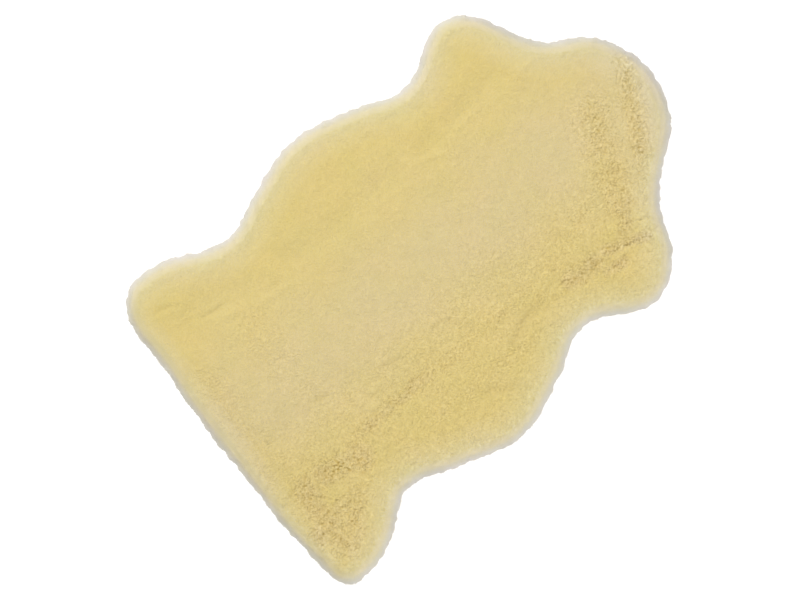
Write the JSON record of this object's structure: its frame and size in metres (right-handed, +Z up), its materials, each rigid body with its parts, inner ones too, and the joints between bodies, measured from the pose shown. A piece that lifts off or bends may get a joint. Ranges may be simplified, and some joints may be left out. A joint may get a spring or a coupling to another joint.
{
  "type": "sheepskin rug",
  "caption": "Flat sheepskin rug in the outline of a whole skin, with a thick, even, sheared wool pile on a thin hide.",
  "frame": {"origin": "on the floor, under the middle of the rug's box", "axes": "+Z up out of the wool, +Y along the back from the rump to the neck, +X to the right flank seen from above"},
  "size_m": [0.5962, 0.8998, 0.0326],
  "materials": {
    "wool": "matt sheared wool, warm cream yellow, paler at the rim",
    "hide": "matt suede, the underside of the skin"
  },
  "bodies": {
    "root": {"pelt": "wool"}
  },
  "joints": []
}
